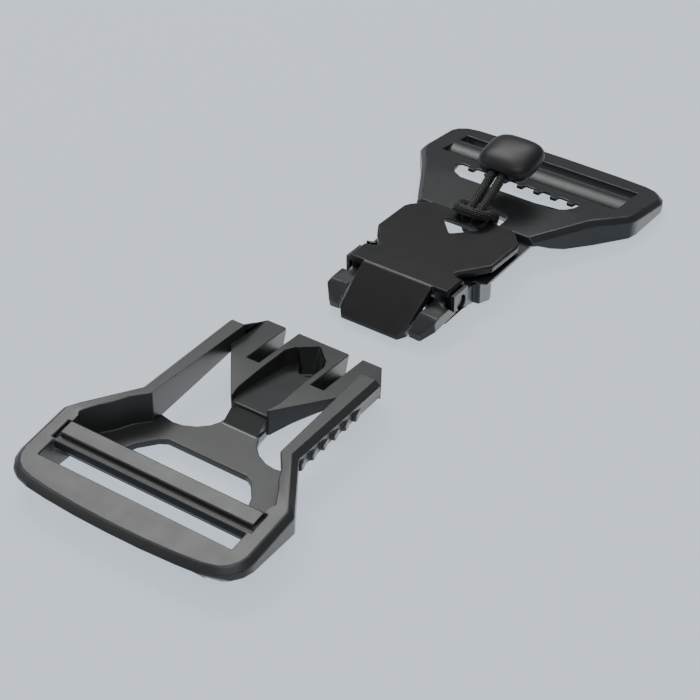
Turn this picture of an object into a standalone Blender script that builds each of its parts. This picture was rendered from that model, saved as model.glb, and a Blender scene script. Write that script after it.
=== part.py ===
"""Magnetic side-release buckle: receiving half, plug half, release flap and its pull."""
import bpy
import bmesh
from math import cos, sin, pi, hypot
from mathutils import Vector, Matrix

# Millimetres: the receiving half's rail tops lie at 0, the floor at -9.4
MM = 0.001
LIFT = 9.4
SHIFT = -0.25

# Receiving half: side walls, strap end, deck
CHAMFER = 1.1
RAIL_X = 17.15
SHOULDER_X = 25.2
FEMALE_END = -75.4
MOUTH_Y = -14.15
FOLD_BACK = -55.8
FOLD_FRONT = -21.0
STRAP_TILT = 0.155
MOUTH_TILT = 0.423
DECK_TOP = -6.4
DECK_LOW = -7.8
SLOT_HALF = 20.8
RIB_PITCH = 3.24
RIB_COUNT = 6
RIB_OUT = 0.6

# Plug half: strap end, neck, hinge
MALE_END = 75.9
MALE_FOLD = 50.9
MALE_TOP = -2.9
MALE_TILT = 0.142
NECK_TOP = -4.55
NECK_X = 13.4
TOOTH_PITCH = 4.0
TOOTH_COUNT = 7
HINGE_Y = 13.6
HINGE_Z = -4.5
PIN_R = 1.2
BORE_R = 1.5

# Flap and pull
FLAP_TILT = 0.045
FLAP_THICK = 1.5
CORD_R = 0.95
PULL_X = 0.8
GRIP_HALF = (6.2, 5.7, 3.0)
GRIP_CENTRE = (1.0, 50.6, 5.6)


def point(x, y, z):
    return Vector((x, y + SHIFT, z + LIFT)) * MM


def mirrored(half):
    """Whole outline, anticlockwise, from its +X half listed towards +Y."""
    back = [(-x, y) for x, y in reversed(half) if x > 0.001]
    return list(half) + back


def inset(outline, widths):
    """Anticlockwise outline with each side moved inwards by its own width."""
    count = len(outline)
    moved = []
    for i in range(count):
        ax, ay = outline[i - 1]
        bx, by = outline[i]
        cx, cy = outline[(i + 1) % count]
        first = hypot(bx - ax, by - ay)
        second = hypot(cx - bx, cy - by)
        n1x, n1y = (ay - by) / first, (bx - ax) / first
        n2x, n2y = (by - cy) / second, (cx - bx) / second
        d1, d2 = widths[i - 1], widths[i]
        turn = n1x * n2y - n1y * n2x
        if abs(turn) < 0.08:
            d = (d1 + d2) / 2
            moved.append((bx + n1x * d, by + n1y * d))
        else:
            moved.append((bx + (d1 * n2y - d2 * n1y) / turn, by + (n1x * d2 - n2x * d1) / turn))
    return moved


def corners(outline, radii, steps=4):
    """Outline with each corner of a radius above zero turned into an arc."""
    done = []
    count = len(outline)
    for i in range(count):
        a, b, c = Vector(outline[i - 1]), Vector(outline[i]), Vector(outline[(i + 1) % count])
        radius = radii[i]
        if radius <= 0:
            done.append(tuple(b))
            continue
        into, away = (a - b).normalized(), (c - b).normalized()
        half = into.angle(away) / 2
        reach = radius / max(0.05, abs(sin(half) / cos(half)))
        reach = min(reach, (a - b).length * 0.49, (c - b).length * 0.49)
        start, end = b + into * reach, b + away * reach
        for k in range(steps + 1):
            t = k / steps
            done.append(tuple(start * (1 - t) ** 2 + b * 2 * t * (1 - t) + end * t ** 2))
    return done


def tidy(bm):
    """Weld and face everything outwards."""
    bmesh.ops.remove_doubles(bm, verts=bm.verts, dist=1e-6)
    bmesh.ops.recalc_face_normals(bm, faces=bm.faces)
    for face in bm.faces:
        face.smooth = False


def solid(name, bm):
    mesh = bpy.data.meshes.new(name)
    bm.to_mesh(mesh)
    bm.free()
    body = bpy.data.objects.new(name, mesh)
    bpy.context.scene.collection.objects.link(body)
    return body


def loft(name, rings, folds=()):
    """Closed body through rings of equal counts, lowest first; folds split the top face."""
    bm = bmesh.new()
    rows = [[bm.verts.new(point(*p)) for p in ring] for ring in rings]
    count = len(rows[0])
    for low, high in zip(rows, rows[1:]):
        for i in range(count):
            j = (i + 1) % count
            bm.faces.new((low[i], low[j], high[j], high[i]))
    bm.faces.new(list(reversed(rows[0])))
    bm.faces.new(rows[-1])
    for a, b in folds:
        shared = [f for f in rows[-1][a].link_faces if rows[-1][b] in f.verts]
        bmesh.utils.face_split(shared[0], rows[-1][a], rows[-1][b])
    bmesh.ops.connect_verts_nonplanar(bm, angle_limit=0.01, faces=bm.faces)
    bmesh.ops.recalc_face_normals(bm, faces=bm.faces)
    return solid(name, bm)


def prism(name, outline, low, high, axis="Z"):
    """Plate of one flat outline between two levels, made from a filled 2D curve."""
    curve = bpy.data.curves.new(name, "CURVE")
    curve.dimensions = "2D"
    curve.fill_mode = "BOTH"
    curve.extrude = (high - low) / 2 * MM
    spline = curve.splines.new("POLY")
    spline.points.add(len(outline) - 1)
    for knot, (u, v) in zip(spline.points, outline):
        knot.co = (u * MM, v * MM, 0.0, 1.0)
    spline.use_cyclic_u = True
    plate = bpy.data.objects.new(name, curve)
    bpy.context.scene.collection.objects.link(plate)
    if axis == "Z":
        plate.matrix_world = Matrix.Translation(point(0, 0, (low + high) / 2))
    else:
        turn = Matrix(((0, 0, 1, 0), (1, 0, 0, 0), (0, 1, 0, 0), (0, 0, 0, 1)))
        plate.matrix_world = Matrix.Translation(point((low + high) / 2, 0, 0)) @ turn
    bpy.context.view_layer.update()
    place = plate.matrix_world.copy()
    mesh = bpy.data.meshes.new_from_object(plate.evaluated_get(bpy.context.evaluated_depsgraph_get()))
    bpy.data.objects.remove(plate)
    bm = bmesh.new()
    bm.from_mesh(mesh)
    bm.transform(place)
    tidy(bm)
    bmesh.ops.dissolve_limit(bm, angle_limit=0.002, verts=bm.verts, edges=bm.edges)
    return solid(name, bm)


def box(name, x0, x1, y0, y1, z0, z1):
    return prism(name, [(x0, y0), (x1, y0), (x1, y1), (x0, y1)], z0, z1)


def slice_x(name, x0, x1, profile):
    """Bar along X with a profile given as (Y, Z) points."""
    return prism(name, profile, x0, x1, "X")


def combine(body, others, operation):
    """Join others to the body, or cut them from it, and remove them."""
    for other in others:
        step = body.modifiers.new("step", "BOOLEAN")
        step.operation = operation
        step.solver = "EXACT"
        step.object = other
        bpy.context.view_layer.update()
        mesh = bpy.data.meshes.new_from_object(body.evaluated_get(bpy.context.evaluated_depsgraph_get()))
        body.modifiers.clear()
        body.data = mesh
        bpy.data.objects.remove(other)
    bm = bmesh.new()
    bm.from_mesh(body.data)
    tidy(bm)
    bm.to_mesh(body.data)
    bm.free()
    return body


def join(body, *others):
    return combine(body, others, "UNION")


def cut(body, *others):
    return combine(body, others, "DIFFERENCE")


# Receiving half

def female_top(y):
    if y > FOLD_FRONT:
        return -MOUTH_TILT * (y - FOLD_FRONT)
    if y < FOLD_BACK:
        return STRAP_TILT * (y - FOLD_BACK)
    return 0.0


def female_wall_low(y):
    if y > FOLD_FRONT:
        return -4.0 - 0.24 * (y - FOLD_FRONT)
    if y < -73.0:
        return -4.3
    if y > -46.0:
        return -3.5
    return -3.5 + max(-1.3, 0.12 * (y + 46.0))


def female_ring():
    """Walls of the half, chamfered on top and drawn in below."""
    half = [(0, FEMALE_END), (7, -75.3), (14, -74.9), (18.6, -74.4), (21.4, -73.7), (23.4, -72.4)]
    half += [(24.7, -70.6), (SHOULDER_X, -68.6), (SHOULDER_X, -57.5), (24.07, FOLD_BACK), (RAIL_X, -45.4)]
    half += [(RAIL_X, FOLD_FRONT), (RAIL_X, -20.7), (12.95, MOUTH_Y)]
    outline = mirrored(half)
    count = len(outline)
    mouth = len(half) - 1
    widths = [CHAMFER] * count
    widths[mouth - 1] = widths[mouth + 1] = 0.5
    widths[mouth] = 0.0
    top = inset(outline, widths)
    drawn = [min(3.0 if y < -60 else 4.3, female_wall_low(y) - DECK_LOW) for x, y in outline]
    drawn[mouth] = 0.0
    low = inset(outline, drawn)
    rings = [[(x, y, DECK_LOW) for x, y in low]]
    rings.append([(x, y, female_wall_low(y)) for x, y in outline])
    rings.append([(x, y, female_top(y) - CHAMFER * min(1, widths[i] / CHAMFER + 0.3))
                  for i, (x, y) in enumerate(outline)])
    rings.append([(x, y, female_top(y)) for x, y in top])
    folds = [(half.index((24.07, FOLD_BACK)), count - half.index((24.07, FOLD_BACK))),
             (half.index((RAIL_X, FOLD_FRONT)), count - half.index((RAIL_X, FOLD_FRONT)))]
    return loft("female_body", rings, folds)


def female_inner():
    """Opening between the rails, down to below the deck."""
    half = [(18.6, -59.15), (20.6, -58.7), (21.3, -57.6), (19.4, -54.2), (18.1, -52.5), (16.6, -49.5)]
    half += [(14.1, -46.6), (13.1, FOLD_FRONT), (13.0, -10.0)]
    return prism("inner", mirrored(half), -14.0, 4.0)


def female_strap_cuts():
    slot = slice_x("slot", -SLOT_HALF, SLOT_HALF,
                   [(-68.6, 3), (-68.6, -14), (-61.4, -14), (-61.4, -6.5), (-64.93, -3.15), (-64.93, 3)])
    groove = box("groove", -21.5, 21.5, -64.35, -63.0, -2.05, 3)
    ends = [box("groove_end", s - 0.35, s + 0.35, -63.2, -59.9, -1.85, 3) for s in (-21.15, 21.15)]
    brow = slice_x("brow", -20.8, 20.8,
                   [(-60.05, -0.66), (-58.6, -1.98), (-58.0, -1.98), (-58.0, 2), (-60.05, 2)])
    return [slot, groove, brow] + ends


def wedge_body():
    """Wedge with its two wings, narrow below, and the closed housing under it."""
    half = [(12.95, MOUTH_Y), (14.3, -16.29), (14.3, -24.6), (13.3, -25.0), (10.0, -29.3)]
    half += [(6.9, -33.3), (4.2, -36.8)]
    levels = [-5.0, -4.4, -3.9, -3.9, -4.65, -5.95, -7.7]
    low = [(9.6, MOUTH_Y), (9.4, -16.5), (8.8, -21.6), (8.5, -23.2), (6.8, -26.4), (5.0, -31.4), (4.0, -36.4)]
    order = list(range(len(half) - 1, -1, -1))
    right = [half[i] for i in order]
    right_low = [low[i] for i in order]
    right_level = [levels[i] for i in order]
    outline = right + [(-x, y) for x, y in reversed(right)]
    under = right_low + [(-x, y) for x, y in reversed(right_low)]
    level = right_level + right_level[::-1]
    rings = [[(x, y, DECK_LOW) for x, y in under]]
    rings.append([(x, y, z) for (x, y), z in zip(outline, level)])
    rings.append([(x, y, -1.0) for x, y in outline])
    body = loft("wedge", rings)
    slope = slice_x("slope", -20, 20, [(-40, -2.2), (-26.6, -2.1), (-12, -3.04), (-12, 3), (-40, 3)])
    cut(body, slope)
    sole_low = mirrored([(2.6, -35.0), (4.6, -29.0), (5.0, -24.0), (6.6, -22.0), (6.6, -18.0)])
    sole_top = mirrored([(3.2, -35.8), (5.2, -29.4), (7.0, -24.4), (8.4, -22.2), (8.4, -16.6)])
    sole = loft("sole", [[(x, y, -LIFT) for x, y in sole_low], [(x, y, -7.2) for x, y in sole_top]])
    return join(body, sole)


def wedge_cuts():
    parts = []
    for side in (-1, 1):
        x0, x1 = sorted((5.8 * side, 8.6 * side))
        parts.append(box("dovetail", x0, x1, -26.6, -10.0, -7.3, 2))
    plan = mirrored([(3.7, -37.6), (4.4, -34.5), (4.4, -20.2), (3.4, -18.2)])
    floor = [(-38.0, -3.37), (-16.0, -6.95), (-16.0, 2), (-38.0, 2)]
    channel = prism("channel", plan, -9.0, 2)
    keep = slice_x("keep", -6, 6, [(-40, -10), (-14, -10), (-14, -7.28), (-40, -3.04)])
    parts.append(cut(channel, keep))
    top = mirrored([(0.9, -21.2), (3.5, -18.1), (0, -14.7)])
    low = mirrored([(0.8, -20.6), (2.3, -19.1), (0, -17.6)])
    parts.append(loft("pit", [[(x, y, -8.2) for x, y in low], [(x, y, -1.5) for x, y in top]]))
    mouth = slice_x("mouth", -16, 16, [(-16.3, -10), (MOUTH_Y + 0.02, -3.2), (MOUTH_Y + 0.02, -1), (-8, -1), (-8, -10)])
    parts.append(mouth)
    return parts


def female_deck():
    """Thin deck with the neck up to the wedge, the tear-shaped holes' round ends and the window."""
    half = [(0, -61.0), (21.8, -61.0), (21.9, -57.6), (19.9, -53.9), (18.6, -52.3), (17.1, -49.3)]
    half += [(14.9, -46.4), (14.6, -44.2), (13.4, -44.4), (11.8, -44.7), (9.3, -44.4), (7.0, -43.3)]
    half += [(5.2, -41.6), (4.2, -39.4), (3.8, -36.0)]
    deck = prism("deck", mirrored(half), DECK_LOW, DECK_TOP)
    view = [(15.2, -59.4), (13.1, -54.3), (12.6, -53.0), (10.1, -49.9), (8.7, -49.1)]
    window = prism("window", mirrored(view), -14, 2)
    cut(deck, window)
    neck = slice_x("neck", -3.8, 3.8, [(-43.0, -7.7), (-35.0, -7.7), (-35.0, -4.3), (-36.9, -4.3), (-40.0, -6.45), (-43, -6.45)])
    return join(deck, neck)


def grip_ribs():
    """Ribs on the outer walls, with tops that slope down and out."""
    ribs = []
    inner = RAIL_X - 0.7
    for side in (-1, 1):
        for k in range(RIB_COUNT):
            y = -45.6 + k * RIB_PITCH
            full = [(inner, y), (RAIL_X + RIB_OUT, y), (RAIL_X + RIB_OUT, y + 0.5), (RAIL_X + 0.05, y + 2.3),
                    (inner, y + 2.3)]
            head = [(inner, y), (RAIL_X - 0.1, y), (RAIL_X - 0.1, y + 0.5), (RAIL_X - 0.15, y + 2.3), (inner, y + 2.3)]
            rings = [[(u * side, v, z) for u, v in plan] for plan, z in ((full, -3.42), (full, -2.1), (head, -1.3))]
            if side < 0:
                rings = [ring[::-1] for ring in rings]
            ribs.append(loft("rib", rings))
    return ribs


def rail_ends():
    """Steps at the mouth, where each rail stops short and the wedge's corner goes on."""
    profile = [(-20.85, 3), (-20.85, -2.32), (-14.0, -2.86), (-14.0, 3)]
    return [slice_x("rail_end", 12.7, 19.0, profile), slice_x("rail_end", -19.0, -12.7, profile)]


def make_female():
    foot_low = [(-16.5, -70.6), (16.5, -70.6), (16.5, -69.0), (-16.5, -69.0)]
    foot_top = [(-18.0, -71.9), (18.0, -71.9), (18.0, -68.9), (-18.0, -68.9)]
    foot = loft("foot", [[(x, y, -LIFT) for x, y in foot_low], [(x, y, -7.1) for x, y in foot_top]])
    body = join(female_ring(), foot)
    arch = slice_x("arch", -20, 20, [(-8, -6.7), (MOUTH_Y, -5.6), (FOLD_FRONT, -4.0), (-25, -3.75),
                                     (-44.5, -6.4), (-47, -7.9), (-47, -12), (-8, -12)])
    cut(body, female_inner(), arch)
    join(body, female_deck(), wedge_body())
    cut(body, *wedge_cuts())
    cut(body, *rail_ends())
    cut(body, *female_strap_cuts())
    join(body, *grip_ribs())
    return body


# Plug half

def male_top(y):
    if y > MALE_FOLD:
        return MALE_TOP - MALE_TILT * (y - MALE_FOLD)
    return MALE_TOP


def strap_frame():
    half = [(14.0, 38.4), (14.4, 39.3), (16.0, 42.1), (17.6, 45.0), (20.9, MALE_FOLD), (25.6, 57.6), (26.2, 60.0)]
    half += [(26.5, 70.4)]
    half += [(25.8, 72.6), (23.8, 74.5), (21.0, 75.3), (14.0, 75.7), (0, MALE_END)]
    outline = mirrored(half)
    count = len(outline)
    widths = [CHAMFER] * count
    widths[-1] = 0.0
    top = inset(outline, widths)
    wall_low = [-4.7, -4.9, -6.4, -7.55, -8.5, -8.7, -8.7, -8.7, -8.5, -8.3, -8.3, -8.3, -8.3]
    level = wall_low + wall_low[-2::-1]
    under = mirrored([(9.8, 44.4), (10.5, 45.1), (13.1, 46.2), (15.4, 47.6), (20.0, 52.0), (24.9, 58.6), (25.5, 60.2),
                      (25.7, 70.2), (24.9, 71.9), (23.2, 73.6), (20.7, 74.4), (13.9, 74.8), (0, 75.0)])
    rings = [[(x, y, -LIFT) for x, y in under]]
    rings.append([(x, y, z) for (x, y), z in zip(outline, level)])
    rings.append([(x, y, male_top(y) - CHAMFER) for x, y in outline])
    rings.append([(x, y, male_top(y)) for x, y in top])
    fold = half.index((20.9, MALE_FOLD))
    return loft("male_frame", rings, [(fold, count - 1 - fold)])


def toothed_window():
    """Opening with thin teeth along its far side, and the plain opening under them that leans back."""
    near = [(-14.6, 56.0), (-14.4, 54.0), (-13.2, 51.8), (-11.2, 50.7), (11.2, 50.7), (13.2, 51.8)]
    near += [(14.4, 54.0), (14.6, 56.0)]
    far = [(14.2, 56.5)]
    for k in range(TOOTH_COUNT - 1, -1, -1):
        x = (k - TOOTH_COUNT // 2) * TOOTH_PITCH + 0.7
        if abs(x) < 13.0:
            far += [(x + 1.0, 56.5), (x + 0.7, 55.15), (x - 0.7, 55.15), (x - 1.0, 56.5)]
    far.append((-14.2, 56.5))
    teeth = prism("teeth", near + far, -6.0, 2.0)
    plain = [(-14.9, 54.0), (-13.2, 51.9), (-11.2, 50.8), (11.2, 50.8), (13.2, 51.9), (14.4, 54.0), (14.4, 57.4),
             (-14.9, 57.4)]
    lean = [0.4, 0.1, 0.0, 0.0, 0.1, 0.4, 1.0, 1.0]
    rings = []
    for z, back in ((-9.7, 2.7), (-5.82, 2.7), (-5.8, 1.6), (-4.35, 0.0)):
        side = min(3.9, (-4.35 - z) * 0.77)
        rings.append([(x - side if x < -14 else x, y + back * s, z) for (x, y), s in zip(plain, lean)])
    return [teeth, loft("under_teeth", rings)]


def strap_cuts():
    """The slots before and behind the round strap bar."""
    first = slice_x("slot_a", -21.3, 21.3, [(59.4, 2), (59.4, -12), (68.4, -12), (68.4, -7.8), (62.4, -7.8),
                                            (61.6, -7.1), (61.6, -6.6), (62.0, -5.8), (63.0, -5.2), (64.2, -4.86),
                                            (65.4, -4.96), (65.6, 2)])
    last = slice_x("slot_b", -21.15, 21.15, [(65.5, 2), (65.3, -4.94), (66.6, -5.25), (67.7, -5.9), (68.2, -6.8),
                                             (68.2, -12), (69.9, -12), (69.9, 2)])
    return toothed_window() + [first, last]


def neck_plate():
    """Frame under the flap, drawn in below, with its opening."""
    outline = mirrored([(NECK_X, 17.6), (NECK_X, 41.0)])
    drawn = inset(outline, [3.9, 0.0, 3.9, 0.0])
    rings = [[(x, y, -8.6) for x, y in drawn]]
    rings.append([(x, y, -5.2) for x, y in outline])
    rings.append([(x, y, NECK_TOP) for x, y in outline])
    plate = loft("neck_plate", rings)
    cut(plate, box("corner", 12.1, 16, 17, 19.3, -10, 2), box("corner", -16, -12.1, 17, 19.3, -10, 2))
    return plate


def neck_opening():
    top = mirrored([(7.0, 22.0), (7.0, 36.0), (5.6, 38.0), (5.6, 42.3), (4.7, 43.4), (3.4, 43.7)])
    low = mirrored([(9.3, 22.0), (9.3, 40.0), (9.7, 44.4), (8.4, 48.2), (6.0, 49.4), (3.4, 49.9)])
    rings = [[(x, y, -9.7) for x, y in low], [(x, y, -4.3) for x, y in top], [(x, y, 2) for x, y in top]]
    return loft("opening", rings)


def hull(name, points):
    """Smallest convex body round the points."""
    bm = bmesh.new()
    for p in points:
        bm.verts.new(point(*p))
    bmesh.ops.convex_hull(bm, input=bm.verts)
    bmesh.ops.dissolve_limit(bm, angle_limit=0.01, verts=bm.verts, edges=bm.edges)
    bmesh.ops.recalc_face_normals(bm, faces=bm.faces)
    return solid(name, bm)


def hinge_side(side):
    """Ear, shoulder and hook of one side."""
    plan = [(11.85, 11.0), (12.6, 11.0), (12.6, 15.8), (12.3, 16.2), (12.3, 18.6), (13.4, 19.0), (13.4, 23.3),
            (12.9, 23.7), (11.9, 20.0), (11.85, 15.4)]
    if side < 0:
        plan = [(-x, y) for x, y in reversed(plan)]
    ear = prism("ear", plan, -9.1, -1.85)
    under = slice_x("under", -20, 20, [(9, -5.5), (11.3, -5.5), (13.6, -6.3), (16.0, -6.9), (18.6, -7.6),
                                       (22.8, -9.0), (24.5, -7.2), (24.5, -12), (9, -12)])
    slope = slice_x("slope", -20, 20, [(15.8, -1.9), (16.2, -2.9), (19.0, -2.9), (23.3, -5.5), (26, -5.5), (26, 2),
                                       (15.8, 2)])
    cut(ear, under, slope)
    hook = [(8.4, 5.5, -3.85), (12.3, 5.5, -3.85), (12.45, 9.4, -3.95), (8.4, 9.4, -3.95), (12.45, 4.3, -4.4),
            (12.45, 4.6, -6.4), (8.0, 1.8, -6.4), (10.5, 2.1, -6.6), (8.1, 2.1, -7.8), (10.4, 2.3, -8.1),
            (12.45, 12.0, -6.1), (11.3, 12.0, -7.2), (8.4, 12.0, -7.4), (11.0, 5.5, -8.2), (8.4, 5.5, -8.2),
            (8.4, 10.2, -6.7), (12.45, 10.2, -6.2)]
    arm = [(8.4, 9.0, -7.2), (12.1, 9.0, -7.05), (8.4, 18.4, -7.2), (12.1, 18.4, -7.05), (8.4, 18.4, -8.4),
           (11.0, 18.4, -8.4), (8.4, 9.0, -8.1), (11.0, 9.0, -8.0)]
    root = [(x, y, z) for x in (8.5, 11.0) for y, z in ((9.2, -3.98), (10.5, -3.45), (10.5, -7.0), (9.2, -7.0))]
    join(ear, *[hull(name, [(x * side, y, z) for x, y, z in points])
                for name, points in (("hook", hook), ("arm", arm), ("root", root))])
    return ear


def make_male():
    body = strap_frame()
    cut(body, *strap_cuts())
    join(body, neck_plate())
    cut(body, neck_opening())
    join(body, box("bridge", -9.0, 9.0, 12.3, 18.5, -8.15, -7.25))
    for side in (-1, 1):
        join(body, hinge_side(side))
    bore = round_bar("bore", BORE_R, -16, 16, 24)
    cut(body, bore)
    return body


def round_bar(name, radius, x0, x1, sides):
    circle = [(HINGE_Y + radius * cos(2 * pi * k / sides), HINGE_Z + radius * sin(2 * pi * k / sides))
              for k in range(sides)]
    return slice_x(name, x0, x1, circle)


# Flap

def flap_top(y):
    return -0.7 - FLAP_TILT * (y - 10.2)


def make_flap():
    half = [(11.5, 10.4), (11.55, 15.9), (10.0, 16.1), (9.2, 16.7), (9.3, 17.4), (11.5, 20.1), (13.5, 23.4)]
    half += [(13.6, 32.9), (13.0, 34.2), (11.3, 36.2), (10.2, 37.4), (9.0, 37.9)]
    outline = mirrored(half)
    edge = inset(outline, [0.35] * (len(outline) - 1) + [0.0])
    rings = [[(x, y, flap_top(y) - FLAP_THICK) for x, y in outline]]
    rings.append([(x, y, flap_top(y) - 0.35) for x, y in outline])
    rings.append([(x, y, flap_top(y)) for x, y in edge])
    plate = loft("flap", rings)
    hole = corners([(0, 28.8), (4.6, 33.8), (-4.6, 33.8)], [0.7, 0.7, 0.7])
    rings = [[(x - 1.1, y + 0.9, -4.2) for x, y in hole], [(x, y, -2.05) for x, y in hole]]
    rings.append([(x, y, 2) for x, y in hole])
    eye = box("eye", PULL_X - 2.35, PULL_X + 2.35, 34.8, 36.95, -6, 2)
    cut(plate, loft("hole", rings), eye)
    rows = [((0.35, -8.25), (0.2, -7.3), 6.4), ((2.6, -8.35), (1.5, -6.42), 7.5),
            ((11.2, -2.15), (10.15, -0.655), 8.0), ((12.6, -1.6), (11.3, -0.8), 8.0)]
    rings = [[(-w, back[0], back[1]), (w, back[0], back[1]), (w, front[0], front[1]), (-w, front[0], front[1])]
             for back, front, w in rows]
    tongue = loft("tongue", rings)
    join(plate, tongue)
    cut(plate, slice_x("fold", -13, 13, [(9.276, -1.019), (11.2, -0.58), (11.2, 1.0), (9.276, 1.0)]))
    for side in (-1, 1):
        x0, x1 = sorted((7.8 * side, 11.55 * side))
        arc = [(HINGE_Y + 2.25 * cos(a), HINGE_Z + 2.25 * sin(a)) for a in [-pi * k / 10 for k in range(11)]]
        lug = slice_x("lug", x0, x1, [(HINGE_Y - 2.25, -1.3)] + arc[::-1] + [(HINGE_Y + 2.6, -1.5)])
        join(plate, lug)
    cut(plate, round_bar("flap_bore", BORE_R, -16, 16, 24))
    return plate


# Pull

def cord_path():
    """Loop hitched round the flap's rear bar: two strands up to the grip, the bight in front of them."""
    half = [(1.15, 46.2, 4.4), (1.15, 44.6, 3.4), (1.15, 43.0, 2.5), (1.1, 39.6, 0.8), (1.1, 37.5, 0.05)]
    half += [(1.1, 36.3, -0.4), (1.1, 35.87, -1.7), (1.1, 35.87, -3.2), (1.15, 36.2, -4.4), (1.4, 37.3, -4.9)]
    half += [(2.0, 38.5, -4.65)]
    half += [(2.7, 39.2, -3.9), (3.2, 39.4, -2.6), (3.5, 39.1, -1.2), (3.6, 37.8, -0.2), (3.4, 36.3, 0.1)]
    half += [(2.7, 35.1, 0.6), (1.4, 34.5, 1.0)]
    left = [(PULL_X - x, y, z) for x, y, z in half]
    right = [(PULL_X + x, y, z) for x, y, z in reversed(half)]
    return left + [(PULL_X, 34.4, 1.1)] + right


def make_cord():
    path = [Vector(p) for p in cord_path()]
    fine = []
    for i in range(len(path) - 1):
        a, b = path[max(0, i - 1)], path[i]
        c, d = path[i + 1], path[min(len(path) - 1, i + 2)]
        for t in (0.0, 0.5):
            fine.append(0.5 * ((2 * b) + (c - a) * t + (2 * a - 5 * b + 4 * c - d) * t * t
                               + (3 * b - a - 3 * c + d) * t ** 3))
    fine.append(path[-1])
    curve = bpy.data.curves.new("pull_cord", "CURVE")
    curve.dimensions = "3D"
    curve.bevel_depth = CORD_R * MM
    curve.bevel_resolution = 2
    curve.use_fill_caps = True
    spline = curve.splines.new("POLY")
    spline.points.add(len(fine) - 1)
    for knot, p in zip(spline.points, fine):
        x, y, z = point(*p)
        knot.co = (x, y, z, 1.0)
    cord = bpy.data.objects.new("pull_cord", curve)
    bpy.context.scene.collection.objects.link(cord)
    return cord


def make_grip():
    """Rounded square pillow with a pocket for the cord's ends."""
    bm = bmesh.new()
    bmesh.ops.create_cube(bm, size=2.0)
    bmesh.ops.subdivide_edges(bm, edges=bm.edges, cuts=7, use_grid_fill=True)
    for v in bm.verts:
        x, y, z = v.co
        plan = (abs(x) ** 3.4 + abs(y) ** 3.4) ** (1 / 3.4)
        size = (plan ** 2.3 + abs(z) ** 2.3) ** (1 / 2.3)
        v.co = Vector((x * GRIP_HALF[0], y * GRIP_HALF[1], z * GRIP_HALF[2])) / size
    turn = Matrix.Rotation(0.16, 4, "X")
    place = Matrix.Translation(point(*GRIP_CENTRE)) @ turn @ Matrix.Scale(MM, 4)
    bm.transform(place)
    bmesh.ops.recalc_face_normals(bm, faces=bm.faces)
    rim = []
    for y, z in ((42.6, 2.25), (46.6, 4.65)):
        for x in (PULL_X - 1.15, PULL_X + 1.15):
            rim += [(x + 1.27 * cos(pi * k / 8), y - 0.65 * sin(pi * k / 8), z + 1.1 * sin(pi * k / 8)) for k in range(16)]
    return cut(solid("pull_grip", bm), hull("pocket", rim))


# Materials, collection and joint

def paint(body, name, colour, roughness, metallic=0.0):
    material = bpy.data.materials.new(name)
    material.use_nodes = True
    shader = material.node_tree.nodes["Principled BSDF"]
    shader.inputs["Base Color"].default_value = (*colour, 1.0)
    shader.inputs["Roughness"].default_value = roughness
    shader.inputs["Metallic"].default_value = metallic
    body.data.materials.clear()
    body.data.materials.append(material)


def build():
    for old in list(bpy.data.objects):
        bpy.data.objects.remove(old)
    group = bpy.data.collections.new("magnetic_buckle")
    bpy.context.scene.collection.children.link(group)
    female = make_female()
    male = make_male()
    pin = round_bar("hinge_pin", PIN_R, -12.1, 12.1, 24)
    flap = make_flap()
    cord = make_cord()
    grip = make_grip()
    paint(female, "female_body", (0.03, 0.031, 0.033), 0.5)
    paint(male, "male_frame", (0.03, 0.031, 0.033), 0.5)
    paint(pin, "hinge_pin", (0.35, 0.35, 0.36), 0.3, 1.0)
    paint(flap, "flap", (0.022, 0.022, 0.024), 0.45)
    paint(cord, "pull_cord", (0.015, 0.014, 0.014), 0.9)
    paint(grip, "pull_grip", (0.02, 0.02, 0.021), 0.6)
    hinge = bpy.data.objects.new("flap_axis", None)
    hinge.location = point(0, HINGE_Y, HINGE_Z)
    group.objects.link(hinge)
    bpy.context.view_layer.update()
    for body in (female, male, pin, flap, cord, grip):
        bpy.context.scene.collection.objects.unlink(body)
        group.objects.link(body)
    for body in (flap, cord, grip):
        body.parent = hinge
        body.matrix_parent_inverse = hinge.matrix_world.inverted()
    return female, male, pin, flap, cord, grip


build()
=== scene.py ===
# %% [markdown]
# A two-part magnetic buckle for 40 mm webbing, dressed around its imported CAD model.
# The CAD part fixes every size. This script gives its mouldings the small radii that a
# mould leaves on an edge, braids the cord, and gives each piece its finish.
# Lengths are written in millimetres, and MM turns them into Blender's metres.

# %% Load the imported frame
import bpy
import bmesh
from math import cos, sin, pi, degrees, radians
from mathutils import Vector, Matrix
from mathutils.bvhtree import BVHTree


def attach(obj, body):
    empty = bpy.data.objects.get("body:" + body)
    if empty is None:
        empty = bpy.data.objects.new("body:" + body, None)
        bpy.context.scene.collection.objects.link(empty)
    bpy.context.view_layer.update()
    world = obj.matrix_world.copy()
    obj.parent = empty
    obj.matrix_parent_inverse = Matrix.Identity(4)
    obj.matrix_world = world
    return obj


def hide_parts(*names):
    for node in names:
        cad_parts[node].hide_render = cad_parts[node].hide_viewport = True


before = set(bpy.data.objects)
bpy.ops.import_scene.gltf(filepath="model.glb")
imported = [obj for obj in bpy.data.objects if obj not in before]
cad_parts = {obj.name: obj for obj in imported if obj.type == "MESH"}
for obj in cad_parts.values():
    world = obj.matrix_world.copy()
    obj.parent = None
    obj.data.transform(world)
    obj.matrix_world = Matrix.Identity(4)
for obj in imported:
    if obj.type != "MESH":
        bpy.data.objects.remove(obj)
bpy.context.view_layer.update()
MM = 0.001


def add_object(name, data):
    """A new object in the scene that shows the given mesh, curve, lamp or camera."""
    made = bpy.data.objects.new(name, data)
    bpy.context.scene.collection.objects.link(made)
    return made


print("nodes:", sorted(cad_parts))

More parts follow.
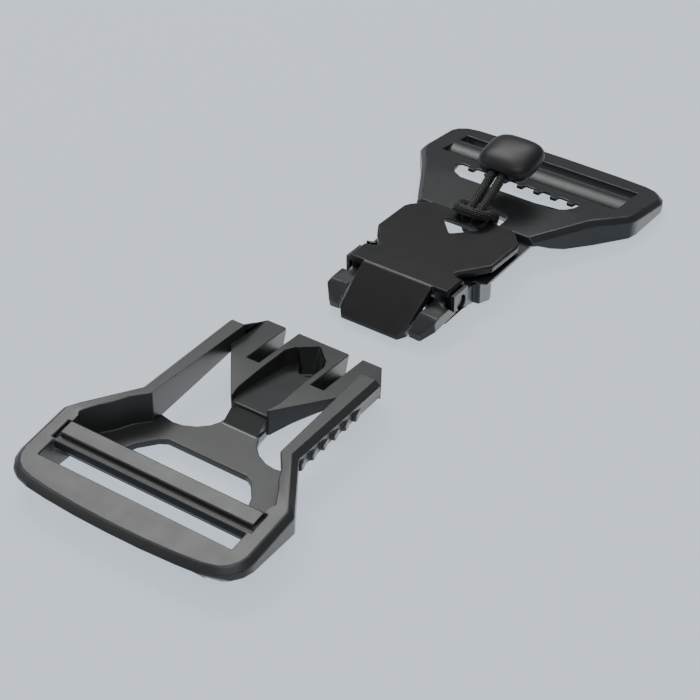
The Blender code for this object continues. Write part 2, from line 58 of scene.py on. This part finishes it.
# %% [markdown]
# The camera stands where the photograph was taken from: 35 degrees round from the strap
# end of the receiving half and 37 degrees up, far enough away for a long lens. The numbers
# come from fitting straight edges of the buckle, whose two halves lie on one line. Points
# traced in the photograph count from a place between the halves, level with the tops of
# the side rails, and TRACED_ZERO is that place in the frame.

# %% Camera
AROUND = radians(34.93)
ABOVE = radians(36.62)
DISTANCE = 349.6
ASIDE = (3.29, 10.46)
TRACED_ZERO = Vector((0, -0.25, 9.4))
FOCAL_PIXELS = 1850
FRAME_PIXELS = 700
SENSOR_WIDTH = 36
CLIP_START = 10


def make_camera():
    back = Vector((sin(AROUND) * cos(ABOVE), -cos(AROUND) * cos(ABOVE), sin(ABOVE)))
    right = Vector((cos(AROUND), sin(AROUND), 0))
    up = back.cross(right)
    lens = bpy.data.cameras.new("camera")
    lens.sensor_width = SENSOR_WIDTH
    lens.lens = FOCAL_PIXELS / FRAME_PIXELS * SENSOR_WIDTH
    lens.clip_start = CLIP_START * MM
    place = Matrix((right, up, back)).transposed().to_4x4()
    stand = back * DISTANCE - right * ASIDE[0] - up * ASIDE[1]
    place.translation = (stand + TRACED_ZERO) * MM
    camera = add_object("camera", lens)
    camera.matrix_world = place
    bpy.context.scene.camera = camera
    return camera


camera = make_camera()
print("camera at", [round(c, 3) for c in camera.matrix_world.translation])

# %% [markdown]
# The pull is one length of round braided cord. It is folded in two, its bight is hitched
# round the rear bar of the flap, and both ends run up into the grip. The route repeats the
# CAD solid's own: one strand from the grip down through the flap, round under its rear
# bar, up and over to the front, and back along the other strand.

# %% The cord's route
PULL_X = 0.8
STRAND = ((1.15, 46.2, 4.4), (1.15, 44.6, 3.4), (1.15, 43.0, 2.5), (1.1, 39.6, 0.8),
          (1.1, 37.5, 0.05), (1.1, 36.3, -0.4), (1.1, 35.87, -1.7), (1.1, 35.87, -3.2),
          (1.15, 36.2, -4.4), (1.4, 37.3, -4.9), (2.0, 38.5, -4.65), (2.7, 39.2, -3.9),
          (3.2, 39.4, -2.6), (3.5, 39.1, -1.2), (3.6, 37.8, -0.2), (3.4, 36.3, 0.1),
          (2.7, 35.1, 0.6), (1.4, 34.5, 1.0))
BIGHT = (PULL_X, 34.4, 1.1)


def placed(point):
    return (Vector(point) + TRACED_ZERO) * MM


def smooth_route(points, steps=4):
    """Points along a smooth line through the given ones."""
    route = []
    last = len(points) - 1
    for i in range(last):
        a, b = points[max(0, i - 1)], points[i]
        c, d = points[i + 1], points[min(last, i + 2)]
        for k in range(steps):
            t = k / steps
            route.append(0.5 * (2 * b + (c - a) * t + (2 * a - 5 * b + 4 * c - d) * t * t
                                + (3 * b - a - 3 * c + d) * t ** 3))
    return route + [points[-1]]


left = [placed((PULL_X - x, y, z)) for x, y, z in STRAND]
right = [placed((PULL_X + x, y, z)) for x, y, z in reversed(STRAND)]
route = smooth_route(left + [placed(BIGHT)] + right)

# %% [markdown]
# Geometry Nodes want many small steps: make a node, link it, set a value. These helpers
# keep one node to one line, with its inputs given by name or by number.

# %% Helpers for node trees
def node(tree, kind, inputs=None, **settings):
    made = tree.nodes.new(kind)
    for name, value in settings.items():
        setattr(made, name, value)
    for key, value in (inputs or {}).items():
        socket = made.inputs[key]
        if isinstance(value, bpy.types.NodeSocket):
            tree.links.new(value, socket)
        else:
            socket.default_value = value
    return made


def math_node(tree, operation, a, b=0.0):
    return node(tree, "ShaderNodeMath", {0: a, 1: b}, operation=operation).outputs[0]


def vector_node(tree, operation, a, b):
    """Scale takes a number as b, and every other operation takes a vector."""
    key = "Scale" if operation == "SCALE" else 1
    return node(tree, "ShaderNodeVectorMath", {0: a, key: b}, operation=operation).outputs[0]


print("helpers:", node.__name__, math_node.__name__, vector_node.__name__)

# %% [markdown]
# A braided cord is a sleeve of yarns: half of them wind to the left, half to the right,
# and each passes over and under those it meets. A bump map would lose the outline, so the
# yarns are real. One tree copies the route once for each yarn, pushes each copy off the
# route along a helix, lets its radius swell and shrink so that the two sets weave, and
# sweeps a small circle along it. A plain core under the yarns closes the gaps.

# %% A node group for one set of yarns
CORD_R = 0.98
YARN_R = 0.13
YARN_COUNT = 10
YARN_SIDES = 6
PITCH = 6.4
WEAVE = 0.05


def yarn_tree(name, hand, material):
    tree = bpy.data.node_groups.new(name, "GeometryNodeTree")
    sockets = tree.interface
    sockets.new_socket("Geometry", in_out="INPUT", socket_type="NodeSocketGeometry")
    for label, size in (("Cord radius", CORD_R), ("Yarn radius", YARN_R), ("Pitch", PITCH)):
        length = sockets.new_socket(label, in_out="INPUT", socket_type="NodeSocketFloat")
        length.default_value = size * MM
    count = sockets.new_socket("Yarns", in_out="INPUT", socket_type="NodeSocketInt")
    count.default_value = YARN_COUNT
    sockets.new_socket("Geometry", in_out="OUTPUT", socket_type="NodeSocketGeometry")
    given = node(tree, "NodeGroupInput").outputs
    copies = node(tree, "GeometryNodeDuplicateElements",
                  {"Geometry": given["Geometry"], "Amount": given["Yarns"]}, domain="SPLINE")
    along = node(tree, "GeometryNodeSplineParameter").outputs["Length"]
    turns = math_node(tree, "DIVIDE", along, given["Pitch"])
    share = math_node(tree, "DIVIDE", copies.outputs["Duplicate Index"], given["Yarns"])
    wound = math_node(tree, "ADD", math_node(tree, "MULTIPLY", turns, float(hand)), share)
    angle = math_node(tree, "MULTIPLY", wound, 2 * pi)
    # In one turn a yarn meets each yarn of the other set twice, once over and once under
    phase = math_node(tree, "MULTIPLY", turns, 2 * pi * YARN_COUNT)
    weave = math_node(tree, "MULTIPLY", math_node(tree, "SINE", phase), WEAVE * MM * hand)
    middle = math_node(tree, "SUBTRACT", given["Cord radius"], given["Yarn radius"])
    reach = math_node(tree, "ADD", middle, weave)
    normal = node(tree, "GeometryNodeInputNormal").outputs[0]
    tangent = node(tree, "GeometryNodeInputTangent").outputs[0]
    side = vector_node(tree, "CROSS_PRODUCT", tangent, normal)
    out = vector_node(tree, "ADD",
                      vector_node(tree, "SCALE", normal, math_node(tree, "COSINE", angle)),
                      vector_node(tree, "SCALE", side, math_node(tree, "SINE", angle)))
    offset = vector_node(tree, "SCALE", out, reach)
    moved = node(tree, "GeometryNodeSetPosition",
                 {"Geometry": copies.outputs["Geometry"], "Offset": offset})
    ring = node(tree, "GeometryNodeCurvePrimitiveCircle",
                {"Resolution": YARN_SIDES, "Radius": given["Yarn radius"]})
    swept = node(tree, "GeometryNodeCurveToMesh",
                 {"Curve": moved.outputs["Geometry"], "Profile Curve": ring.outputs["Curve"],
                  "Fill Caps": True})
    real = node(tree, "GeometryNodeRealizeInstances", {"Geometry": swept.outputs["Mesh"]})
    dressed = node(tree, "GeometryNodeSetMaterial",
                   {"Geometry": real.outputs["Geometry"], "Material": material})
    node(tree, "NodeGroupOutput", {"Geometry": dressed.outputs["Geometry"]})
    return tree


print("yarns a set:", YARN_COUNT, "pitch", PITCH, "mm")

# %% [markdown]
# All finishes here are dark plastics, and on black plastic the eye reads two things: how
# wide the highlight is, and how the surface breaks it up. So each material drives its
# roughness and a fine bump from noise in Object coordinates, which stay put on the piece.
# The grain of a moulded face is about a tenth of a millimetre, and the gloss varies over
# patches of about three. An attribute named edge, made further down, is 1 on the rounded
# edges, which handling makes paler and smoother.

# %% Moulded plastic
PATCHES_PER_METRE = 320.0
GRAIN_STRENGTH = 0.35
EDGE_POLISH = 0.08


def noise(tree, where, scale, detail):
    inputs = {"Vector": where, "Scale": scale, "Detail": detail}
    return node(tree, "ShaderNodeTexNoise", inputs).outputs[0]


def grained(name, colour, worn, roughness, grain, depth, shine=0.5, patch=0.04):
    """Plastic with a moulded grain, slightly uneven gloss, and paler, smoother edges."""
    material = bpy.data.materials.new(name)
    material.use_nodes = True
    tree = material.node_tree
    shader = tree.nodes["Principled BSDF"]
    shader.inputs["Specular IOR Level"].default_value = shine
    where = node(tree, "ShaderNodeTexCoord").outputs["Object"]
    broad = noise(tree, where, PATCHES_PER_METRE, 4.0)
    fine = noise(tree, where, 1000 / grain, 2.0)
    edge = node(tree, "ShaderNodeAttribute", attribute_name="edge").outputs["Fac"]
    rubbed = math_node(tree, "MULTIPLY", edge, broad)
    tint = node(tree, "ShaderNodeMix", {"Factor": rubbed, "A": (*colour, 1), "B": (*worn, 1)},
                data_type="RGBA")
    tree.links.new(tint.outputs[2], shader.inputs["Base Color"])
    # The noise seldom leaves the range from 0.3 to 0.7
    gloss = node(tree, "ShaderNodeMapRange",
                 {"Value": broad, "From Min": 0.3, "From Max": 0.7,
                  "To Min": roughness - patch / 2, "To Max": roughness + patch / 2}).outputs[0]
    polish = math_node(tree, "MULTIPLY", edge, EDGE_POLISH)
    tree.links.new(math_node(tree, "SUBTRACT", gloss, polish), shader.inputs["Roughness"])
    bump = node(tree, "ShaderNodeBump",
                {"Strength": GRAIN_STRENGTH, "Distance": depth * MM, "Height": fine})
    tree.links.new(bump.outputs[0], shader.inputs["Normal"])
    return material


body_black = grained("moulded_black", (0.030, 0.031, 0.032), worn=(0.07, 0.072, 0.075),
                     roughness=0.38, grain=0.16, depth=0.03, shine=0.34)
frame_black = grained("moulded_black_fine", (0.024, 0.025, 0.026), worn=(0.06, 0.062, 0.065),
                      roughness=0.36, grain=0.14, depth=0.025, shine=0.3)
flap_black = grained("flap_black", (0.014, 0.014, 0.015), worn=(0.05, 0.051, 0.053),
                     roughness=0.36, grain=0.12, depth=0.015, shine=0.22)
soft_black = grained("soft_touch", (0.015, 0.015, 0.016), worn=(0.035, 0.035, 0.036),
                     roughness=0.45, grain=0.2, depth=0.02, shine=0.32)
pin_steel = grained("dark_pin", (0.10, 0.10, 0.105), worn=(0.2, 0.2, 0.2),
                    roughness=0.35, grain=0.3, depth=0.01)
pin_steel.node_tree.nodes["Principled BSDF"].inputs["Metallic"].default_value = 1.0
print("finishes:", [m.name for m in (body_black, frame_black, flap_black, soft_black, pin_steel)])

# %% [markdown]
# Yarn is fabric: it scatters light at grazing angles, which is what Sheen does, and each
# filament bundle has its own slight tone.

# %% Yarn
LINT_PER_METRE = 2600.0
SHEEN = 0.05
TONES = (0.6, 1.5)


def yarn_material(name, colour, roughness):
    material = bpy.data.materials.new(name)
    material.use_nodes = True
    tree = material.node_tree
    shader = tree.nodes["Principled BSDF"]
    shader.inputs["Sheen Weight"].default_value = SHEEN
    where = node(tree, "ShaderNodeTexCoord").outputs["Object"]
    lint = noise(tree, where, LINT_PER_METRE, 3.0)
    darker, paler = ((*[c * k for c in colour], 1) for k in TONES)
    shade = node(tree, "ShaderNodeMix", {"Factor": lint, "A": darker, "B": paler},
                 data_type="RGBA")
    tree.links.new(shade.outputs[2], shader.inputs["Base Color"])
    dull = node(tree, "ShaderNodeMapRange",
                {"Value": lint, "To Min": roughness - 0.12, "To Max": roughness + 0.1})
    tree.links.new(dull.outputs[0], shader.inputs["Roughness"])
    bump = node(tree, "ShaderNodeBump", {"Strength": 0.5, "Distance": 0.03 * MM, "Height": lint})
    tree.links.new(bump.outputs[0], shader.inputs["Normal"])
    return material


yarn_black = yarn_material("cord_yarn", (0.006, 0.0055, 0.005), 0.5)
print("yarn:", yarn_black.name)

# %% [markdown]
# A curve with modifiers is only a recipe until it is evaluated. These helpers lay a route
# down as a curve, turn what its modifiers make into a plain mesh, and join several meshes
# into one piece, because a finished piece keeps no live modifiers.

# %% From a route to one mesh
def route_curve(name, points, bevel=0.0):
    curve = bpy.data.curves.new(name, "CURVE")
    curve.dimensions = "3D"
    curve.bevel_depth = bevel
    curve.bevel_resolution = 3
    curve.use_fill_caps = bevel > 0
    spline = curve.splines.new("POLY")
    spline.points.add(len(points) - 1)
    for knot, point in zip(spline.points, points):
        knot.co = (*point, 1.0)
    return add_object(name, curve)


def evaluated_mesh(piece):
    """Plain mesh of what the object's modifiers make."""
    bpy.context.view_layer.update()
    graph = bpy.context.evaluated_depsgraph_get()
    return bpy.data.meshes.new_from_object(piece.evaluated_get(graph))


def as_mesh(name, source):
    mesh = evaluated_mesh(source)
    bpy.data.objects.remove(source)
    return add_object(name, mesh)


def joined(name, pieces):
    """One mesh piece from several, each with the same material."""
    bm = bmesh.new()
    for piece in pieces:
        bm.from_mesh(piece.data)
    material = pieces[0].data.materials[0]
    for piece in pieces:
        bpy.data.objects.remove(piece)
    mesh = bpy.data.meshes.new(name)
    bm.to_mesh(mesh)
    bm.free()
    mesh.materials.append(material)
    return add_object(name, mesh)


def count_triangles(piece):
    return sum(len(face.vertices) - 2 for face in piece.data.polygons)


print("points laid down for the core:", len(route))

# %% [markdown]
# The sleeve is two sets of yarns, one wound to the left and one to the right, and the core
# is a plain round bar. The yarns get a route three times as fine, so that they wind evenly
# round the bends. The finished cord takes the place of the CAD's plain tube and rides on
# the flap that it is hitched to.

# %% The cord's sleeve and core
CORE_R = 0.83


def braid(name, points, material):
    fine = smooth_route(points, 3)
    sets = []
    for hand in (-1, 1):
        line = route_curve("yarn_line", fine)
        sweep = line.modifiers.new("braid", "NODES")
        sweep.node_group = yarn_tree("yarns", hand, material)
        sets.append(as_mesh("yarn_set", line))
    core = route_curve("core", points, CORE_R * MM)
    core.data.materials.append(material)
    sets.append(as_mesh("core_mesh", core))
    whole = joined(name, sets)
    whole.data.polygons.foreach_set("use_smooth", [True] * len(whole.data.polygons))
    return whole


cord = braid("pull_cord_braid", route, yarn_black)
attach(cord, "flap")
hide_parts("pull_cord")
print("cord triangles:", count_triangles(cord))

# %% [markdown]
# A CAD solid has knife edges, and a moulding has none: every edge has a radius of a few
# tenths of a millimetre, and that radius is what draws the bright lines along the real
# buckle. The node itself may not change, so a copy is welded, and triangles that lie in
# one plane become one face again, because Bevel follows edges and not diagonals.

# %% A welded copy of a node
WELD = 0.05


def welded_copy(name, flat=1.0):
    """Mesh data of the node's solid; faces within flat degrees of each other become one."""
    bm = bmesh.new()
    bm.from_mesh(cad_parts[name].data)
    bmesh.ops.remove_doubles(bm, verts=bm.verts, dist=WELD * MM)
    bmesh.ops.dissolve_degenerate(bm, dist=WELD * MM, edges=bm.edges)
    bmesh.ops.dissolve_limit(bm, angle_limit=radians(flat), verts=bm.verts, edges=bm.edges)
    return bm


print("loose triangles of the flap's solid:", len(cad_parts["flap"].data.polygons))

# %% [markdown]
# Bevel's Clamp Overlap shrinks every radius of a piece to what its tightest edge allows,
# and a moulding has steps of a tenth of a millimetre. So the clamp is off, and each edge
# gets a weight of its own: how much room the two faces beside it have, measured straight
# in from three places on the edge to whatever edge lies opposite, and how long the edges
# at its two ends are.

# %% Room beside each edge
# A radius takes at most these shares of the room beside the edge and of the edges at its
# ends; NO_LIMIT and NO_DEPTH are in metres
SHARP = radians(24)
SHARE_OF_ROOM = 0.42
SHARE_OF_END = 0.8
LEAST_WEIGHT = 0.15
NO_LIMIT = 1.0
NO_DEPTH = 1e-6


def room_in_face(edge, face):
    """Shortest way across the face from a quarter, half and three quarters along."""
    a, b = (v.co for v in edge.verts)
    inward = face.normal.cross(b - a).normalized()
    if (face.calc_center_median() - a).dot(inward) < 0:
        inward.negate()
    along = (b - a).normalized()
    shortest = NO_LIMIT
    for share in (0.25, 0.5, 0.75):
        start = a.lerp(b, share)
        for other in face.edges:
            if other is edge:
                continue
            p, q = (v.co - start for v in other.verts)
            u0, u1 = p.dot(along), q.dot(along)
            if (u0 > 0) == (u1 > 0):
                continue
            t = u0 / (u0 - u1)
            depth = p.dot(inward) * (1 - t) + q.dot(inward) * t
            if depth > NO_DEPTH:
                shortest = min(shortest, depth)
    return shortest


def weigh_edges(bm, radius):
    """A bevel weight for each sharp edge, from 0 to 1."""
    weight = bm.edges.layers.float.new("bevel_weight_edge")
    count = 0
    for edge in bm.edges:
        if len(edge.link_faces) != 2 or edge.calc_face_angle(0) < SHARP:
            continue
        room = min(room_in_face(edge, face) for face in edge.link_faces)
        ends = min(other.calc_length() for v in edge.verts for other in v.link_edges)
        by_ends = max(LEAST_WEIGHT, SHARE_OF_END * ends / radius)
        edge[weight] = min(1.0, SHARE_OF_ROOM * room / radius, by_ends)
        count += 1
    return count


print("an edge with 1 mm of room may have up to", SHARE_OF_ROOM, "mm of radius")

# %% [markdown]
# Where many edges meet at one corner, a radius can still fold the faces over. The cure is
# a test and another try: each face of the rounded mesh should lie close to the solid and
# look the same way as the solid there. A sliver too small to see isn't judged. Where a
# face fails, the edges nearby get half their radius, and the piece is rounded again.

# %% The test for folded faces
# Areas in square metres and ON_SOLID in metres; TURNED and FLIPPED are the cosine between a
# face and the solid under it, and FARTHEST is a share of the radius
SPECK_AREA = 1e-12
FLAT_AREA = 2e-9
ROUND_AREA = 1e-9
ON_SOLID = 2e-5
TURNED = 0.5
FLIPPED = -0.2
FARTHEST = 0.75
SMALLEST_WEIGHT = 0.08
NO_LENGTH = 1e-15


def folded_places(mesh, solid, radius):
    """Centres of faces that stand off the solid or look the wrong way."""
    places = []
    for face in mesh.polygons:
        if face.area < SPECK_AREA:
            continue
        spots = [face.center] + [mesh.vertices[v].co for v in face.vertices]
        reach = [solid.find_nearest(spot) for spot in spots]
        _, solid_normal, _, distance = reach[0]
        agreement = face.normal.dot(solid_normal)
        if face.material_index == 0:
            wrong = face.area > FLAT_AREA and distance < ON_SOLID and agreement < TURNED
        else:
            wrong = face.area > ROUND_AREA and agreement < FLIPPED
        if wrong or max(r[3] for r in reach) > FARTHEST * radius:
            places.append(face.center.copy())
    return places


def calm_edges(bm, places, near):
    """Halve the weight of every edge that passes near one of the places."""
    weight = bm.edges.layers.float["bevel_weight_edge"]
    for edge in bm.edges:
        if edge[weight] == 0:
            continue
        a, b = (v.co for v in edge.verts)
        span = b - a
        for place in places:
            t = (place - a).dot(span) / max(span.length_squared, NO_LENGTH)
            if (a + span * max(0.0, min(1.0, t)) - place).length < near:
                edge[weight] = edge[weight] * 0.5 if edge[weight] > SMALLEST_WEIGHT else 0.0
                break


print("a rounded face may stand off the solid by", FARTHEST, "of the radius")

# %% [markdown]
# The rounding itself is Blender's own Bevel with the weights from above. It puts the faces
# that it adds in a second material slot, so that flat and rounded faces can be told apart.

# %% Round, test, and round again
ROUND_SEGMENTS = 3
TRIES = 7


def bevel_by_weight(name, bm, radius, material):
    """A new piece with a live bevel on its weighted edges."""
    mesh = bpy.data.meshes.new(name)
    bm.to_mesh(mesh)
    mesh.materials.append(material)
    mesh.materials.append(material)
    piece = add_object(name, mesh)
    bevel = piece.modifiers.new("radius", "BEVEL")
    bevel.width = radius
    bevel.segments = ROUND_SEGMENTS
    bevel.limit_method = "WEIGHT"
    bevel.use_clamp_overlap = False
    bevel.material = 1
    return piece


def bevelled(name, bm, radius, material):
    """A piece whose weighted edges are rounded, with no more folded faces than it must."""
    solid = BVHTree.FromBMesh(bm)
    for attempt in range(1, TRIES + 1):
        piece = bevel_by_weight(name, bm, radius, material)
        result = evaluated_mesh(piece)
        places = folded_places(result, solid, radius)
        print(name, "try", attempt, "folded faces:", len(places))
        if not places or attempt == TRIES:
            break
        calm_edges(bm, places, radius)
        bpy.data.objects.remove(piece)
    piece.modifiers.clear()
    piece.data = result
    bm.free()
    return piece


print("tries for each piece: up to", TRIES)

# %% [markdown]
# The second material slot is turned into the attribute named edge, which the plastic
# reads. Weighted normals then keep the flat faces flat right up to the radius.

# %% Edges marked and faces shaded
CREASE = radians(38)
AREA_RULE = 80


def mark_edges(mesh):
    """Attribute edge: 1 where every face round a point is a rounding."""
    rounding = [True] * len(mesh.vertices)
    for face in mesh.polygons:
        if face.material_index == 0:
            for v in face.vertices:
                rounding[v] = False
        face.material_index = 0
        face.use_smooth = True
    mesh.materials.pop(index=1)
    edge = mesh.attributes.new("edge", "FLOAT", "POINT")
    edge.data.foreach_set("value", [float(r) for r in rounding])


def shade_by_area(piece):
    """Smooth shading that large faces rule, with creases kept."""
    piece.data.set_sharp_from_angle(angle=CREASE)
    weigh = piece.modifiers.new("flat faces", "WEIGHTED_NORMAL")
    weigh.weight = AREA_RULE
    weigh.keep_sharp = True
    piece.data = evaluated_mesh(piece)
    piece.modifiers.clear()


print("creases stay where faces meet at more than", round(degrees(CREASE)), "degrees")

# %% [markdown]
# Each moulding gets the radius that its highlights have in the photograph: 0.3 mm on the
# receiving half, a little less on the finer plug half. The flap's plate and its tongue
# overlap with slightly different slopes, so there faces within 6 degrees count as one, and
# the only line left across the flap is the fold.

# %% Rounded copies of the mouldings
def rounded(name, radius, material, body, flat=1.0):
    bm = welded_copy(name, flat)
    count = weigh_edges(bm, radius * MM)
    piece = bevelled(name + "_rounded", bm, radius * MM, material)
    mark_edges(piece.data)
    shade_by_area(piece)
    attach(piece, body)
    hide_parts(name)
    print(piece.name, "edges:", count, "triangles:", count_triangles(piece))
    return piece


receiving_half = rounded("female_body", 0.3, body_black, "frame")
plug_frame = rounded("male_frame", 0.26, frame_black, "frame")
flap = rounded("flap", 0.24, flap_black, "flap", flat=6.0)
pin = rounded("hinge_pin", 0.15, pin_steel, "frame")
print("rounded:", [piece.name for piece in (receiving_half, plug_frame, flap, pin)])

# %% [markdown]
# The grip is a soft pillow with no edge at all, so its copy isn't bevelled: smooth shading
# alone makes it round. Only where the cord goes in do faces meet at more than 50 degrees,
# and there the crease stays as the CAD part has it.

# %% The grip
GRIP_CREASE = radians(50)


def smooth_grip(name, material, body):
    bm = welded_copy(name)
    mesh = bpy.data.meshes.new("pull_grip_soft")
    bm.to_mesh(mesh)
    bm.free()
    mesh.materials.append(material)
    mesh.polygons.foreach_set("use_smooth", [True] * len(mesh.polygons))
    mesh.set_sharp_from_angle(angle=GRIP_CREASE)
    piece = add_object("pull_grip_soft", mesh)
    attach(piece, body)
    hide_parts(name)
    return piece


grip = smooth_grip("pull_grip", soft_black, "flap")
print(grip.name, "faces:", len(grip.data.polygons))

# %% [markdown]
# The photograph has an even, pale ground with hardly a shadow, as on a light table. So the
# floor gives off light of its own, reflects little and casts no shadow, and the openings
# of the buckle stay as pale as the ground round it.

# %% Floor
FLOOR_GREY = (0.15, 0.155, 0.16)
FLOOR_GLOW = (0.665, 0.76, 0.86)
FLOOR_HALF = 3.0


def make_floor():
    mesh = bpy.data.meshes.new("floor")
    corners = [(-1, -1), (1, -1), (1, 1), (-1, 1)]
    mesh.from_pydata([(x * FLOOR_HALF, y * FLOOR_HALF, 0) for x, y in corners], [],
                     [(0, 1, 2, 3)])
    floor = add_object("floor", mesh)
    paint = bpy.data.materials.new("floor_paint")
    paint.use_nodes = True
    shader = paint.node_tree.nodes["Principled BSDF"]
    shader.inputs["Base Color"].default_value = (*FLOOR_GREY, 1)
    shader.inputs["Roughness"].default_value = 1.0
    shader.inputs["Specular IOR Level"].default_value = 0.0
    shader.inputs["Emission Color"].default_value = (*FLOOR_GLOW, 1)
    shader.inputs["Emission Strength"].default_value = 1.0
    mesh.materials.append(paint)
    floor.visible_shadow = False
    return floor


floor = make_floor()
print(floor.name, 2 * FLOOR_HALF, "m wide")

# %% [markdown]
# Black plastic shows its shape only by what it mirrors, so each lamp is a panel that
# stands where one set of faces mirrors it. The two overhead light the tops, the long one
# behind gives the flat tops their sheen, the two in front lift the walls that face the
# camera, and the one below the floor, which casts no shadow, reaches the side walls.

# %% Light
# Each panel's place and size are in metres and its power in watts, and it faces the buckle
PANELS = (("edge_light", (-0.55, 0.26, 1.05), (0.35, 0.35), 5),
          ("overhead", (0.1, 0.0, 1.2), (1.0, 1.0), 3),
          ("behind", (-0.50, 0.70, 1.12), (1.2, 0.36), 12),
          ("front", (0.42, -0.60, 0.94), (0.9, 0.4), 5),
          ("front_left", (-0.80, -0.55, 0.55), (0.6, 0.4), 1.5),
          ("under_right", (0.40, 0.80, -0.60), (0.45, 0.45), 8))
SKY_COLOUR = (0.93, 0.96, 1.0, 1)
SKY_STRENGTH = 0.08


def panel(name, place, size, power):
    lamp = bpy.data.lights.new(name, "AREA")
    lamp.shape = "RECTANGLE"
    lamp.size, lamp.size_y = size
    lamp.energy = power
    light = add_object(name, lamp)
    towards = Vector((0, 0, 0)) - Vector(place)
    turn = towards.to_track_quat("-Z", "Y").to_matrix().to_4x4()
    light.matrix_world = Matrix.Translation(Vector(place)) @ turn
    light.visible_camera = False
    return light


def soft_sky(colour, strength):
    world = bpy.data.worlds.new("studio")
    world.use_nodes = True
    background = world.node_tree.nodes["Background"].inputs
    background["Color"].default_value = colour
    background["Strength"].default_value = strength
    bpy.context.scene.world = world


lamps = [panel(*settings) for settings in PANELS]
soft_sky(SKY_COLOUR, SKY_STRENGTH)
print("lamps:", [lamp.name for lamp in lamps])

# %% [markdown]
# The box of the dressed model should be the CAD model's own box.


print("the end of the dressing")
